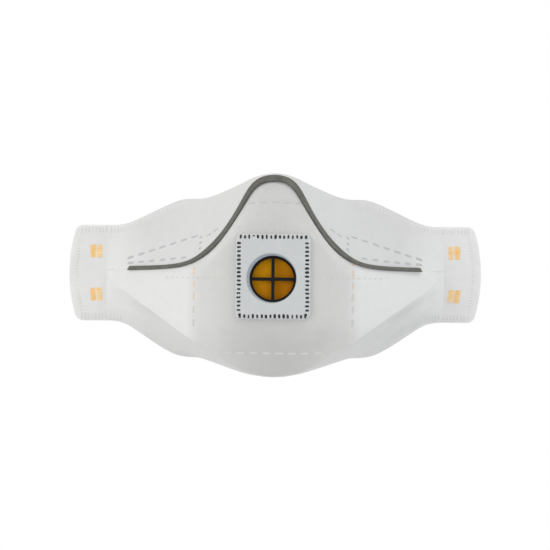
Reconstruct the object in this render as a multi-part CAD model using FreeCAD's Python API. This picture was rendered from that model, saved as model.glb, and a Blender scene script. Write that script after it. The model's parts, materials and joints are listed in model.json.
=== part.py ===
import FreeCAD, Part

import math
import os

from FreeCAD import Vector

# A fold-flat disposable dust mask with an exhalation valve, standing open as a cup.
# Millimetres. +Z is up towards the nose, -Y is out through the valve, +Y is towards the wearer, and the
# origin is the middle of the face opening. The body is three panels of laminate: an eye-shaped centre
# panel between two fold lines, an upper panel from the upper fold line back to the nose and cheeks, and
# a lower panel from the lower fold line back to the chin. The panels flatten into a welded tab at each
# side, and the two headbands are welded to the tabs.

# ---- the laminate, as depths behind the outer surface ----
OUTER_WEB = (0.0, 0.30)
STIFFENER = (0.35, 0.55)
CENTRE_FILTER = (0.60, 1.30)
SIDE_FILTER = (0.35, 1.30)
INNER_WEB = (1.35, 1.60)
LAMINATE = INNER_WEB[1]
SEAM_GAP = 0.08  # left free on each panel at a fold line

# ---- the body's rails: (distance from the middle, value), the same on both sides ----
BODY_HALF = 93.0  # where the panels end and the tabs begin
TAB_FACE_Y = -LAMINATE / 2
TOP_EDGE_Z = [(0, 53.3), (10, 51.4), (20, 46.8), (30, 42.4), (38, 39.4), (42, 38.9), (49, 39.6),
              (52, 38.9), (61, 35.0), (74, 28.6), (81, 25.3), (85, 24.3), (BODY_HALF, 24.3)]
TOP_EDGE_Y = [(0, -27), (10, -25.5), (20, -20.5), (30, -14.5), (42, -7.5), (52, -3.5), (70, -1.5),
              (85, TAB_FACE_Y), (BODY_HALF, TAB_FACE_Y)]
UPPER_FOLD_Z = [(0, 49.5), (5.5, 48.8), (10.4, 46.0), (13.6, 41.5), (17.8, 33), (22.7, 24.4), (28.2, 16),
                (34, 9.6), (40.6, 5), (49.4, 1.6), (60.5, 0.2), (80, -0.4), (BODY_HALF, -0.6)]
UPPER_FOLD_Y = [(0, -33), (11.5, -35), (19.4, -39.5), (30, -43.5), (36, -44), (42.5, -41.8), (50.6, -36.5),
                (61, -27.8), (80, -11.2), (88, -4.4), (BODY_HALF, TAB_FACE_Y)]
FRONT_DEPTH = [(0, 56), (22, 56), (30, 54), (36, 50.5), (42, 45.5), (54, 35), (66, 24.5), (84, 7.7),
               (BODY_HALF, -TAB_FACE_Y)]
FLAT_TOP_Z = [(0, 20), (21.5, 20), (27, 12), (36, 2), (42, -3), (60, -5.5), (84, -3.6), (BODY_HALF, -1.6)]
FLAT_BOTTOM_Z = [(0, -30), (22, -30), (32, -30), (42, -26.5), (60, -16.5), (75, -10), (84, -5.5),
                 (BODY_HALF, -1.8)]
LOWER_FOLD_Z = [(0, -58), (13.4, -56), (20.6, -53), (32, -45.8), (43.5, -39), (54, -32), (66, -23.3),
                (75, -17.2), (84, -11), (90, -6), (BODY_HALF, -3)]
LOWER_FOLD_Y = [(0, -38), (20, -39), (32, -41.5), (43.5, -40.5), (54, -33.5), (66, -23.9), (75, -15.8),
                (84, -7.6), (BODY_HALF, TAB_FACE_Y)]
CHIN_EDGE_Z = [(0, -47), (30, -47.5), (44, -48.4), (53, -48.3), (57.5, -46.3), (71, -38), (82, -30.3),
               (86, -28.8), (BODY_HALF, -28.4)]
CHIN_EDGE_Y = [(0, -2), (30, -2), (55, -1.2), (85, TAB_FACE_Y), (BODY_HALF, TAB_FACE_Y)]
UPPER_BULGE = [(0, 0.5), (30, 0.5), (50, -2.4), (66, -2.6), (85, -0.6), (BODY_HALF, 0)]
LOWER_BULGE = [(0, 4.5), (25, 4.8), (38, 4.0), (44, 2.2), (60, 1.2), (85, 0.3), (BODY_HALF, 0)]
TOP_ROUNDING = 1.5  # power of the curve from the flat front up to the upper fold line
BOTTOM_ROUNDING = 2.0
FRONT_LEAN = 6.0  # degrees that the flat front and the valve lean back towards the top

STATIONS = [0, 5, 9, 12.5, 16, 20, 25, 30, 36, 42, 47, 52, 57, 63, 69, 75, 81, 86, 90, BODY_HALF]
CENTRE_ZONES = 3  # down the centre panel: above the flat front, the flat front, below it
ZONE_ROWS = 4
SIDE_ROWS = 6
MITRE_LIMIT = 1.35
STIFFENER_HALF = 43.0
STIFFENER_TOP = 36.5
STIFFENER_BOTTOM = -45.0
FORWARD_OF_ALL = 70.0  # further out along -Y than any of the mask
NORMAL_STEP = (1.5, 0.1)  # along x and down the panel, to each side of a point whose normal is taken
ROW_CROWDING = 1.3  # power that brings a side panel's rows closer together beside its fold line

# ---- the side tabs ----
TAB_TOP = 24.3
TAB_BOTTOM = -28.4
TAB_END = 113.2
TAB_SHOULDER = 109.0  # where the bowed end would meet the top and bottom without the corner rounding
TAB_CORNER = 5.0
TAB_GAP = 0.2
PLY_GAP = 0.05

# ---- the nose clip and its foam ----
CLIP_HALF = 79.5
CLIP_WIDTH = [(0, 4.4), (12, 4.4), (20, 4.8), (32, 4.4), (44, 2.9), (52, 2.5), (80, 2.4)]
CLIP_THICK = 0.7
CLIP_LIFT = 0.52
CLIP_ON_UPPER = [(0, 0), (16, 0), (36, 1), (80, 1)]  # 0 astride the fold line, 1 on the upper panel behind
CLIP_PAST_FOLD = 0.6  # of its front edge, where it lies on the upper panel
CLIP_NEAR_FOLD = 0.05  # share of the upper panel's height where the clip takes that panel's normal
CLIP_STEP = 0.5
FOAM_HALF = 38.0
FOAM_WIDTH = 6.0
FOAM_THICK = 3.0
FOAM_INSET = 0.8
FOAM_GAP = 1.1

# ---- the valve: depths are along Y, radii about the valve's own axis ----
VALVE_Z = -5.0
FLANGE_BACK_Y = -56.2
FLANGE_THICK = 1.0
FLANGE_SIZE = (38.6, 44.6)
FLANGE_CORNER = 3.0
FLANGE_RISE = 1.2  # of the flange's middle above the port's
PATCH_THICK = 0.4
PATCH_SKIRT = 0.5
PATCH_CLEAR = 0.1
BEZEL_R = 12.7
BEZEL_PROUD = 0.1
BEZEL_CLEAR = 0.05
PORT_R = 11.9
BARREL_R = 13.5
BARREL_LENGTH = 5.0
GRILLE_R = 11.25
GRILLE_BAR = 1.7
BAR_REACH = 0.25  # of each end of a cross bar into its ring
GRILLE_FRONT_Y = -56.6
GRILLE_THICK = 1.2
LAMINATE_HOLE_R = 14.2
THROUGH = (-66.0, -44.0)  # from in front of the whole valve to behind it
BITE = 0.1  # how far pieces that are fused reach into each other along Y
DISC_R = 11.4
DISC_THICK = 0.5
DISC_FRONT_Y = -53.9
PIN_R = 1.2
PIN_CLEAR = 0.05
SEAT_R = 11.85
SEAT_BACK_Y = -51.8
SEAT_THICK = 1.2
SEAT_LIP = (9.6, 10.6)
SEAT_CLEAR = 0.05
SPOKE = 1.6
HUB_R = 2.6
TICK_SIZE = (0.9, 2.5)  # across and along a tick
TICK_THICK = 0.12
TICK_SPAN = (37.1, 43.3)  # between the middles of opposite rows of ticks
TICK_COUNTS = (16, 17)  # in the top and bottom rows, and in the upright ones between them
TICK_PITCH = (2.34, 2.26)

# ---- the headbands ----
BAND_WIDTH = 8.0
BAND_THICK = 0.9
BAND_SAG = 28.0
BAND_HALF_SPAN = 92.0
BAND_AXIS_Y = 5.5
BAND_WELD_X = 98.4
BAND_WELD_LENGTH = 9.6
BAND_WELD_Z = {"upper": 9.9, "lower": -14.0}
WELD_BLOCK = (2.9, 1.25)
WELD_COLUMN_PITCH = 3.7
WELD_ROW_PITCH = 1.65
WELD_ROWS = 5
WELD_THICK = 0.12


def rail(knots, s):
    """Smooth value at distance s from the middle, through the knots and never past them."""
    s = min(abs(s), knots[-1][0])
    k = max(i for i in range(len(knots) - 1) if knots[i][0] <= s)
    (x0, y0), (x1, y1) = knots[k], knots[k + 1]
    slope = (y1 - y0) / (x1 - x0)

    def knot_slope(i):
        if i in (0, len(knots) - 1):
            return 0.0
        before = (knots[i][1] - knots[i - 1][1]) / (knots[i][0] - knots[i - 1][0])
        after = (knots[i + 1][1] - knots[i][1]) / (knots[i + 1][0] - knots[i][0])
        if before * after <= 0:
            return 0.0
        return 2 * before * after / (before + after)

    m0, m1 = knot_slope(k), knot_slope(k + 1)
    if k + 1 == len(knots) - 1:
        m1 = 1.5 * slope - 0.5 * m0
    h = x1 - x0
    t = (s - x0) / h
    return (y0 * (1 + 2 * t) * (1 - t) ** 2 + m0 * h * t * (1 - t) ** 2
            + y1 * t * t * (3 - 2 * t) + m1 * h * t * t * (t - 1))


def between(a, b, share):
    return a + (b - a) * share


def centre_point(x, v):
    """Outer surface of the centre panel. v counts its zones: 0 at the upper fold line, 1 and 2 at the top
    and bottom of the flat front, and 3 at the lower fold line."""
    lean = math.tan(math.radians(FRONT_LEAN))
    depth = rail(FRONT_DEPTH, x)

    def front(z):
        return depth * (1 - lean * (z - VALVE_Z) / FRONT_DEPTH[0][1])

    levels = [rail(UPPER_FOLD_Z, x), rail(FLAT_TOP_Z, x), rail(FLAT_BOTTOM_Z, x), rail(LOWER_FOLD_Z, x)]
    zone = min(2, int(v))
    z = between(levels[zone], levels[zone + 1], v - zone)
    if zone == 0:
        share = (1 - v) ** TOP_ROUNDING
        return Vector(x, -between(front(z), -rail(UPPER_FOLD_Y, x), share), z)
    if zone == 2:
        share = (v - 2) ** BOTTOM_ROUNDING
        return Vector(x, -between(front(z), -rail(LOWER_FOLD_Y, x), share), z)
    return Vector(x, -front(z), z)


def bulged(x, start, end, bulge, v):
    """A point between two rails in the plane at x, bowed to the right of the way from start to end."""
    across = Vector(0, end.z - start.z, start.y - end.y)
    across.normalize()
    return start + (end - start) * v + across * (bulge * 4 * v * (1 - v))


def upper_point(x, v):
    """Outer surface of the upper panel: v runs from 0 at the fold line to 1 at the nose and cheek edge."""
    fold = Vector(x, rail(UPPER_FOLD_Y, x), rail(UPPER_FOLD_Z, x))
    edge = Vector(x, rail(TOP_EDGE_Y, x), rail(TOP_EDGE_Z, x))
    return bulged(x, fold, edge, -rail(UPPER_BULGE, x), v)


def lower_point(x, v):
    """Outer surface of the lower panel: v runs from 0 at the fold line to 1 at the chin edge."""
    fold = Vector(x, rail(LOWER_FOLD_Y, x), rail(LOWER_FOLD_Z, x))
    edge = Vector(x, rail(CHIN_EDGE_Y, x), rail(CHIN_EDGE_Z, x))
    return bulged(x, fold, edge, rail(LOWER_BULGE, x), v)


# each panel's point function, the last value of v, the turn of its normal, and the panels that it meets at
# its first and last row, with the value of v there
PANELS = {
    "centre": (centre_point, CENTRE_ZONES, 1, ("upper", 0), ("lower", 0)),
    "upper": (upper_point, 1, -1, ("centre", 0), None),
    "lower": (lower_point, 1, 1, ("centre", CENTRE_ZONES), None),
}


def inward(panel, x, v):
    """Unit normal of a panel's outer surface, into the cup."""
    point, last, turn = PANELS[panel][:3]
    step_x, step_v = NORMAL_STEP
    x0, x1 = max(-BODY_HALF, x - step_x), min(BODY_HALF, x + step_x)
    v0, v1 = max(0.0, v - step_v), min(last, v + step_v)
    normal = (point(x1, v) - point(x0, v)).cross(point(x, v1) - point(x, v0)) * turn
    normal.normalize()
    return normal


def mitre(panel, x, v):
    """The way into the laminate at a panel's point, on the bisector where it meets its neighbour."""
    last, meets_first, meets_last = PANELS[panel][1], *PANELS[panel][3:]
    normal = inward(panel, x, v)
    meets = meets_first if v == 0 else meets_last if v == last else None
    if not meets:
        return normal
    both = normal + inward(meets[0], x, meets[1])
    both.normalize()
    return both * min(MITRE_LIMIT, 1 / both.dot(normal))


def both_sides(stations):
    return [-s for s in reversed(stations) if s] + list(stations)


def panel_rows(panel):
    """The values of v down a panel, closer together beside each fold line."""
    last = PANELS[panel][1]
    if panel == "centre":
        return [i / ZONE_ROWS for i in range(last * ZONE_ROWS + 1)]
    return [(i / (SIDE_ROWS - 1)) ** ROW_CROWDING for i in range(SIDE_ROWS)]


def panel_grid(panel, depth):
    """Control points of a panel at a depth behind its outer surface, a seam gap short of each fold line."""
    point, last, _, meets_first, meets_last = PANELS[panel]
    rows = panel_rows(panel)
    grid = []
    for x in both_sides(STATIONS):
        column = [point(x, v) + mitre(panel, x, v) * depth for v in rows]
        if meets_first:
            column[0] = column[0] + toward(column[0], column[1]) * SEAM_GAP
        if meets_last:
            column[-1] = column[-1] + toward(column[-1], column[-2]) * SEAM_GAP
        grid.append(column)
    return grid


def toward(start, end):
    way = end - start
    way.normalize()
    return way


def spline_surface(grid):
    """A cubic surface that follows a grid of control points and keeps to its edges."""
    surface = Part.BSplineSurface()
    counts = (len(grid), len(grid[0]))
    degrees = [min(3, n - 1) for n in counts]
    knots = [list(range(n - d + 1)) for n, d in zip(counts, degrees)]
    mults = [[d + 1] + [1] * (len(k) - 2) + [d + 1] for k, d in zip(knots, degrees)]
    surface.buildFromPolesMultsKnots(grid, *mults, *knots, False, False, *degrees)
    return surface


def sheet_solid(front, back):
    """The closed solid between two surfaces with the same parameters."""
    faces = [front.toShape(), back.toShape()]
    u0, u1, v0, v1 = front.bounds()
    for u in (u0, u1):
        faces.append(Part.makeRuledSurface(front.uIso(u).toShape(), back.uIso(u).toShape()))
    for v in (v0, v1):
        faces.append(Part.makeRuledSurface(front.vIso(v).toShape(), back.vIso(v).toShape()))
    shell = Part.makeShell(faces)
    shell.sewShape()
    solid = Part.makeSolid(shell)
    if solid.Volume < 0:
        solid.reverse()
    return solid


def panel_sheet(panel, depths):
    """One layer of a panel's laminate."""
    return sheet_solid(*[spline_surface(panel_grid(panel, depth)) for depth in depths])


def stiffener():
    """The net in the middle of the centre panel."""
    height = STIFFENER_TOP - STIFFENER_BOTTOM
    corner = Vector(-STIFFENER_HALF, -FORWARD_OF_ALL, STIFFENER_BOTTOM)
    outline = Part.makeBox(2 * STIFFENER_HALF, FORWARD_OF_ALL, height, corner)
    return panel_sheet("centre", STIFFENER).common(outline)


def rounded_plate(width, height, corner, y0, y1):
    """A plate with rounded corners about the flange's middle, from y0 to y1."""
    bottom = VALVE_Z + FLANGE_RISE - height / 2
    plate = Part.makeBox(width, y1 - y0, height, Vector(-width / 2, y0, bottom))
    upright = [e for e in plate.Edges if abs(e.Vertexes[0].Y - e.Vertexes[1].Y) > 1e-6]
    return plate.makeFillet(corner, upright)


def drum(radius, y0, y1):
    """A cylinder on the valve's axis, from y0 to y1."""
    return Part.makeCylinder(radius, y1 - y0, Vector(0, y0, VALVE_Z), Vector(0, 1, 0))


def lean(shape):
    """Lean a piece of the valve back with the flat front that it sits on."""
    return shape.rotated(Vector(0, -FRONT_DEPTH[0][1], VALVE_Z), Vector(1, 0, 0), -FRONT_LEAN)


def cross_bars(width, length, y0, y1):
    level = Part.makeBox(length, y1 - y0, width, Vector(-length / 2, y0, VALVE_Z - width / 2))
    upright = Part.makeBox(width, y1 - y0, length, Vector(-width / 2, y0, VALVE_Z - length / 2))
    return level.fuse(upright).removeSplitter()


def laminate_parts():
    hole = lean(drum(LAMINATE_HOLE_R, *THROUGH))
    parts = {
        "centre_outer_web": panel_sheet("centre", OUTER_WEB),
        "centre_stiffener": stiffener(),
        "centre_filter": panel_sheet("centre", CENTRE_FILTER),
        "centre_inner_web": panel_sheet("centre", INNER_WEB),
    }
    parts = {name: solid.cut(hole) for name, solid in parts.items()}
    for panel in ("upper", "lower"):
        parts[panel + "_outer_web"] = panel_sheet(panel, OUTER_WEB)
        parts[panel + "_filter"] = panel_sheet(panel, SIDE_FILTER)
        parts[panel + "_inner_web"] = panel_sheet(panel, INNER_WEB)
    return parts


def tab_ply(side, y, thick):
    """One ply of a tab from y; side is -1 on the left and 1 on the right."""
    def at(s, z):
        return Vector(side * s, y, z)

    root = BODY_HALF + TAB_GAP
    top_end, bottom_end = at(TAB_SHOULDER, TAB_TOP), at(TAB_SHOULDER, TAB_BOTTOM)
    edges = [
        Part.LineSegment(at(root, TAB_TOP), top_end),
        Part.Arc(top_end, at(TAB_END, (TAB_TOP + TAB_BOTTOM) / 2), bottom_end),
        Part.LineSegment(bottom_end, at(root, TAB_BOTTOM)),
        Part.LineSegment(at(root, TAB_BOTTOM), at(root, TAB_TOP)),
    ]
    ply = Part.Face(Part.Wire([e.toShape() for e in edges])).extrude(Vector(0, thick, 0))
    upright = [e for e in ply.Edges if e.Length < 2 * thick]
    corners = [e for e in upright if abs(abs(e.CenterOfMass.x) - TAB_SHOULDER) < 1e-3]
    return ply.makeFillet(TAB_CORNER, corners)


def tab_parts():
    thick = LAMINATE / 2 - PLY_GAP / 2
    parts = {}
    for name, side in (("left", -1), ("right", 1)):
        parts[name + "_tab_front_ply"] = tab_ply(side, TAB_FACE_Y, thick)
        parts[name + "_tab_back_ply"] = tab_ply(side, PLY_GAP / 2, thick)
    return parts


def clip_section(x, height):
    """Three points across the nose clip at x, at a height above its underside."""
    share = rail(CLIP_ON_UPPER, x)
    outward = mitre("centre", x, 0) * (share - 1) - inward("upper", x, CLIP_NEAR_FOLD) * share
    outward.normalize()
    along = toward(centre_point(x - CLIP_STEP, 0), centre_point(x + CLIP_STEP, 0))
    across = toward(Vector(), outward.cross(along))
    width = rail(CLIP_WIDTH, x)
    set_back = (width / 2 - CLIP_PAST_FOLD) * share
    base = centre_point(x, 0) + outward * (CLIP_LIFT + height) + across * set_back
    return [base + across * (width * w) for w in (-0.5, 0, 0.5)]


def foam_section(x, height):
    """Three points across the nose foam at x, at a height above the face that is glued to the panel."""
    edge, fold = upper_point(x, 1), upper_point(x, 0)
    down = toward(edge, fold)
    inside = Vector(0, -down.z, down.y)
    base = edge + inside * (LAMINATE + FOAM_GAP + height) + down * FOAM_INSET
    return [base + down * (FOAM_WIDTH * w) for w in (0, 0.5, 1)]


def strip(section, half, thick):
    """A strip from -half to half, with the section that a function gives at each station."""
    stations = both_sides([s for s in STATIONS if s < half] + [half])
    return sheet_solid(*[spline_surface([section(x, height) for x in stations]) for height in (0, thick)])


def valve_parts():
    width, height = FLANGE_SIZE
    flange_front = FLANGE_BACK_Y - FLANGE_THICK
    patch_front = flange_front - PATCH_THICK
    grow = 2 * (PATCH_CLEAR + PATCH_SKIRT)
    patch = rounded_plate(width + grow, height + grow, FLANGE_CORNER + grow / 2, patch_front, FLANGE_BACK_Y)
    room = rounded_plate(width + 2 * PATCH_CLEAR, height + 2 * PATCH_CLEAR, FLANGE_CORNER + PATCH_CLEAR,
                         flange_front, FLANGE_BACK_Y)
    patch = patch.cut(room).cut(drum(BEZEL_R + BEZEL_CLEAR, *THROUGH))

    port = drum(PORT_R, *THROUGH)
    bezel = drum(BEZEL_R, patch_front - BEZEL_PROUD, flange_front).cut(port)

    cover = rounded_plate(width, height, FLANGE_CORNER, flange_front, FLANGE_BACK_Y)
    cover = cover.fuse(drum(BARREL_R, FLANGE_BACK_Y, FLANGE_BACK_Y + BARREL_LENGTH))
    cover = cover.cut(port)
    grille_back = GRILLE_FRONT_Y + GRILLE_THICK
    ledge = drum(PORT_R, GRILLE_FRONT_Y, grille_back).cut(drum(GRILLE_R, *THROUGH))
    bars = cross_bars(GRILLE_BAR, 2 * (GRILLE_R + BAR_REACH), GRILLE_FRONT_Y, grille_back)
    cover = cover.fuse([ledge, bars]).removeSplitter()

    disc_back = DISC_FRONT_Y + DISC_THICK
    disc = drum(DISC_R, DISC_FRONT_Y, disc_back).cut(drum(PIN_R + PIN_CLEAR, *THROUGH))

    seat_front = SEAT_BACK_Y - SEAT_THICK
    seat = drum(SEAT_R, seat_front, SEAT_BACK_Y)
    seat = seat.fuse(drum(SEAT_LIP[1], disc_back + SEAT_CLEAR, seat_front + BITE))
    seat = seat.cut(drum(SEAT_LIP[0], *THROUGH))
    spokes = cross_bars(SPOKE, 2 * (SEAT_LIP[0] + BAR_REACH), seat_front, SEAT_BACK_Y)
    pin = drum(PIN_R, grille_back + SEAT_CLEAR, SEAT_BACK_Y)
    seat = seat.fuse([spokes, drum(HUB_R, seat_front, SEAT_BACK_Y), pin]).removeSplitter()

    upright = {
        "valve_patch": patch,
        "valve_bezel": bezel,
        "valve_cover": cover,
        "valve_diaphragm": disc,
        "valve_seat": seat,
        "valve_weld_ticks": weld_ticks(patch_front),
    }
    return {name: lean(shape) for name, shape in upright.items()}


def weld_ticks(patch_front):
    """The ring of short welds that fixes the patch over the valve's flange."""
    across, along = TICK_SIZE
    bars = []

    def bar(x, z, size_x, size_z):
        middle = VALVE_Z + FLANGE_RISE + z
        corner = Vector(x - size_x / 2, patch_front - TICK_THICK, middle - size_z / 2)
        bars.append(Part.makeBox(size_x, TICK_THICK, size_z, corner))

    for sign in (-1, 1):
        for i in range(TICK_COUNTS[0]):
            bar((i - (TICK_COUNTS[0] - 1) / 2) * TICK_PITCH[0], sign * TICK_SPAN[1] / 2, across, along)
        for i in range(TICK_COUNTS[1]):
            bar(sign * TICK_SPAN[0] / 2, (i - (TICK_COUNTS[1] - 1) / 2) * TICK_PITCH[1], along, across)
    return Part.makeCompound(bars)


def headband(weld_z):
    """The free part of a headband, hanging in an arc behind the face opening."""
    radius = (BAND_HALF_SPAN ** 2 + BAND_SAG ** 2) / (2 * BAND_SAG)
    centre_z = weld_z - BAND_SAG + radius
    half_angle = math.asin(BAND_HALF_SPAN / radius)

    def on_arc(r, angle):
        return Vector(r * math.sin(angle), BAND_AXIS_Y - BAND_WIDTH / 2, centre_z - r * math.cos(angle))

    inner, outer = radius - BAND_THICK / 2, radius + BAND_THICK / 2
    edges = [
        Part.Arc(on_arc(inner, -half_angle), on_arc(inner, 0), on_arc(inner, half_angle)),
        Part.LineSegment(on_arc(inner, half_angle), on_arc(outer, half_angle)),
        Part.Arc(on_arc(outer, half_angle), on_arc(outer, 0), on_arc(outer, -half_angle)),
        Part.LineSegment(on_arc(outer, -half_angle), on_arc(inner, -half_angle)),
    ]
    return Part.Face(Part.Wire([e.toShape() for e in edges])).extrude(Vector(0, BAND_WIDTH, 0))


def band_end(side, weld_z):
    """The end of a headband, flat on the back of its tab."""
    back = -TAB_FACE_Y + PLY_GAP
    corner = Vector(side * BAND_WELD_X - BAND_WELD_LENGTH / 2, back, weld_z - BAND_WIDTH / 2)
    return Part.makeBox(BAND_WELD_LENGTH, BAND_THICK, BAND_WIDTH, corner)


def weld_blocks(side):
    """Where the headbands' ends are fused right through a tab: small blocks on its front."""
    width, height = WELD_BLOCK
    blocks = []
    for weld_z in BAND_WELD_Z.values():
        for column in (-0.5, 0.5):
            for row in range(WELD_ROWS):
                x = side * BAND_WELD_X + column * WELD_COLUMN_PITCH
                z = weld_z + (row - (WELD_ROWS - 1) / 2) * WELD_ROW_PITCH
                corner = Vector(x - width / 2, TAB_FACE_Y - WELD_THICK, z - height / 2)
                blocks.append(Part.makeBox(width, WELD_THICK, height, corner))
    return Part.makeCompound(blocks)


def headband_parts():
    parts = {}
    for level, weld_z in BAND_WELD_Z.items():
        parts[level + "_headband"] = headband(weld_z)
        for name, side in (("left", -1), ("right", 1)):
            parts[f"{level}_{name}_band_end"] = band_end(side, weld_z)
    parts["left_band_welds"] = weld_blocks(-1)
    parts["right_band_welds"] = weld_blocks(1)
    return parts


def main():
    os.makedirs("parts", exist_ok=True)
    parts = {
        **laminate_parts(),
        **tab_parts(),
        "nose_clip": strip(clip_section, CLIP_HALF, CLIP_THICK),
        "nose_foam": strip(foam_section, FOAM_HALF, FOAM_THICK),
        **valve_parts(),
        **headband_parts(),
    }
    for name, shape in parts.items():
        shape.exportStep(f"parts/{name}.step")
        print(name, "valid" if shape.isValid() else "INVALID", len(shape.Solids), round(shape.Volume, 1))


main()
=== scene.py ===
import json
import math
import random

import bmesh
import bpy
import numpy as np
from mathutils import Matrix, Vector
from mathutils.bvhtree import BVHTree


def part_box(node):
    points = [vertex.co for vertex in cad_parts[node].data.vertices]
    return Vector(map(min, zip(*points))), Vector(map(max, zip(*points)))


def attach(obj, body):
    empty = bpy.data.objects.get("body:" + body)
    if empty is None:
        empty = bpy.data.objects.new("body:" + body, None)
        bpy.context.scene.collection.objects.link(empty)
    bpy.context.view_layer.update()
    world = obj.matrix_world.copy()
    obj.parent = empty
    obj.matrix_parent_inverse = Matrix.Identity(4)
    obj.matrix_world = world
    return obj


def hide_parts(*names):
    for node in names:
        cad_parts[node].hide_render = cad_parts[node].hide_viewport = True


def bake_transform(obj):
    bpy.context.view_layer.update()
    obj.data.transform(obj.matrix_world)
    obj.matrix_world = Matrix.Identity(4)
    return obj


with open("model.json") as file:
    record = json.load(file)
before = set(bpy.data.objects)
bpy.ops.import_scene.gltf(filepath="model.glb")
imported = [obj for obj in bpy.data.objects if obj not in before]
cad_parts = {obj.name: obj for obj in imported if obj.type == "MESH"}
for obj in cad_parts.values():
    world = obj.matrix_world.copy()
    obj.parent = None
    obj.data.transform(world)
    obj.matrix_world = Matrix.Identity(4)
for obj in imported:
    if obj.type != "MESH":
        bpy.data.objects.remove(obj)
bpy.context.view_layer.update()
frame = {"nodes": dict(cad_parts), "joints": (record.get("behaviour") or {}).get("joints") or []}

# The looks of the dust mask, in metres, in the CAD frame: +Z up, -Y out through the valve, +Y to the wearer.
# The panels' surfaces are read from the CAD nodes, and carry the laminate's weld marks, folds and softness.

MM = 0.001
RANDOM = random.Random(7)

# ---- the laminate, as depths behind the outer surface ----
LAMINATE = 1.6 * MM
LAYERS = {"outer_web": (0.0, 0.30 * MM), "filter": (0.36 * MM, 1.29 * MM), "inner_web": (1.35 * MM, 1.6 * MM)}
RIM_PRESS = 0.45  # share of the thickness that is left in the welded rim
RIM_WIDTH = 1.6 * MM

# ---- how the surfaces are read ----
FAN_CENTRE = Vector((0, 10 * MM, -2 * MM))
FAN_REACH = 0.2
FAN_RANGE = (math.radians(-95), math.radians(75))
STATION_STEP = 1.0 * MM
ROW_STEP = 1.0 * MM
BODY_HALF = -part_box("centre_outer_web")[0].x - 0.05 * MM

# ---- weld marks, as (length, width) ----
DASH = (4.4 * MM, 1.55 * MM)
TOP_DASH = (3.7 * MM, 1.1 * MM)
SIDE_DASH = (4.0 * MM, 2.0 * MM)
STITCH = (1.9 * MM, 0.5 * MM)
FLAP_DASH = (4.2 * MM, 1.6 * MM)
CORNER_DASH = (3.4 * MM, 1.2 * MM)
UPRIGHT_DASH = (2.0 * MM, 1.9 * MM)
TICK = (3.2 * MM, 0.8 * MM)
END_TICK = (1.5 * MM, 0.6 * MM)
TICK_PITCH = 1.87 * MM
TICK_INSET = 1.7 * MM
MARK_RISE = 0.05 * MM
MARK_SINK = 0.12 * MM
MARK_SIDES = 14
GROOVE_DEPTH = 0.22 * MM
GROOVE_WIDTH = 1.3 * MM


# ======== surfaces ========

def tree_of(node):
    mesh = frame["nodes"][node].data
    return BVHTree.FromPolygons([v.co for v in mesh.vertices], [p.vertices for p in mesh.polygons])


def outer_hit(tree, x, angle):
    """Where a ray towards the fan's centre first meets a node: its outer face."""
    way = Vector((0, -math.cos(angle), math.sin(angle)))
    start = Vector((x, FAN_CENTRE.y, FAN_CENTRE.z)) + way * FAN_REACH
    return tree.ray_cast(start, -way, FAN_REACH)[0]


def edge_angle(tree, x, inside, outside):
    """The angle between one that meets the node and one that misses it, where the node ends."""
    for _ in range(16):
        middle = (inside + outside) / 2
        if outer_hit(tree, x, middle):
            inside = middle
        else:
            outside = middle
    return inside


def section(tree, x, rows):
    """Points down a node's outer face in the plane at x, from top to bottom, evenly spaced."""
    scan = np.linspace(*FAN_RANGE, 110)
    met = [i for i, a in enumerate(scan) if outer_hit(tree, x, a)]
    low = edge_angle(tree, x, scan[met[0]], scan[met[0] - 1])
    high = edge_angle(tree, x, scan[met[-1]], scan[met[-1] + 1])
    hits = [outer_hit(tree, x, a) for a in np.linspace(high, low, 140)]
    points = np.array([h for h in hits if h])
    run = run_along(points)
    share = np.linspace(0, run[-1], rows)
    return np.stack([np.interp(share, run, points[:, k]) for k in range(3)], axis=1)


def relax(grid, passes, axis):
    """Average each point with its neighbours along one axis, with the two ends held."""
    grid = np.moveaxis(grid, axis, 0).copy()
    for _ in range(passes):
        grid[1:-1] = grid[:-2] / 4 + grid[1:-1] / 2 + grid[2:] / 4
    return np.moveaxis(grid, 0, axis)


def unit(v):
    return v / np.maximum(np.linalg.norm(v, axis=-1, keepdims=True), 1e-12)


def grid_normals(grid):
    normal = unit(np.cross(np.gradient(grid, axis=0), np.gradient(grid, axis=1)))
    outward = grid - np.array([0, 0.03, -0.002])
    turn = np.sign((normal * outward).sum(-1).mean())
    return normal * turn


STATIONS = np.linspace(-BODY_HALF, BODY_HALF, 2 * round(BODY_HALF / STATION_STEP) + 1)
RELAX_PASSES = 8
MITRE_LEAST = 0.72  # of the cosine that a mitred normal is lengthened by


def station_of(x):
    """Where x falls in the list of stations, in steps and parts of a step."""
    return float(np.interp(x, STATIONS, np.arange(len(STATIONS))))


def run_along(points, axis=0):
    """The length along a line of points to each of them, starting at 0."""
    steps = np.linalg.norm(np.diff(points, axis=axis), axis=-1)
    start = np.zeros_like(np.take(steps, [0], axis=axis))
    return np.concatenate([start, np.cumsum(steps, axis=axis)], axis=axis)


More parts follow.
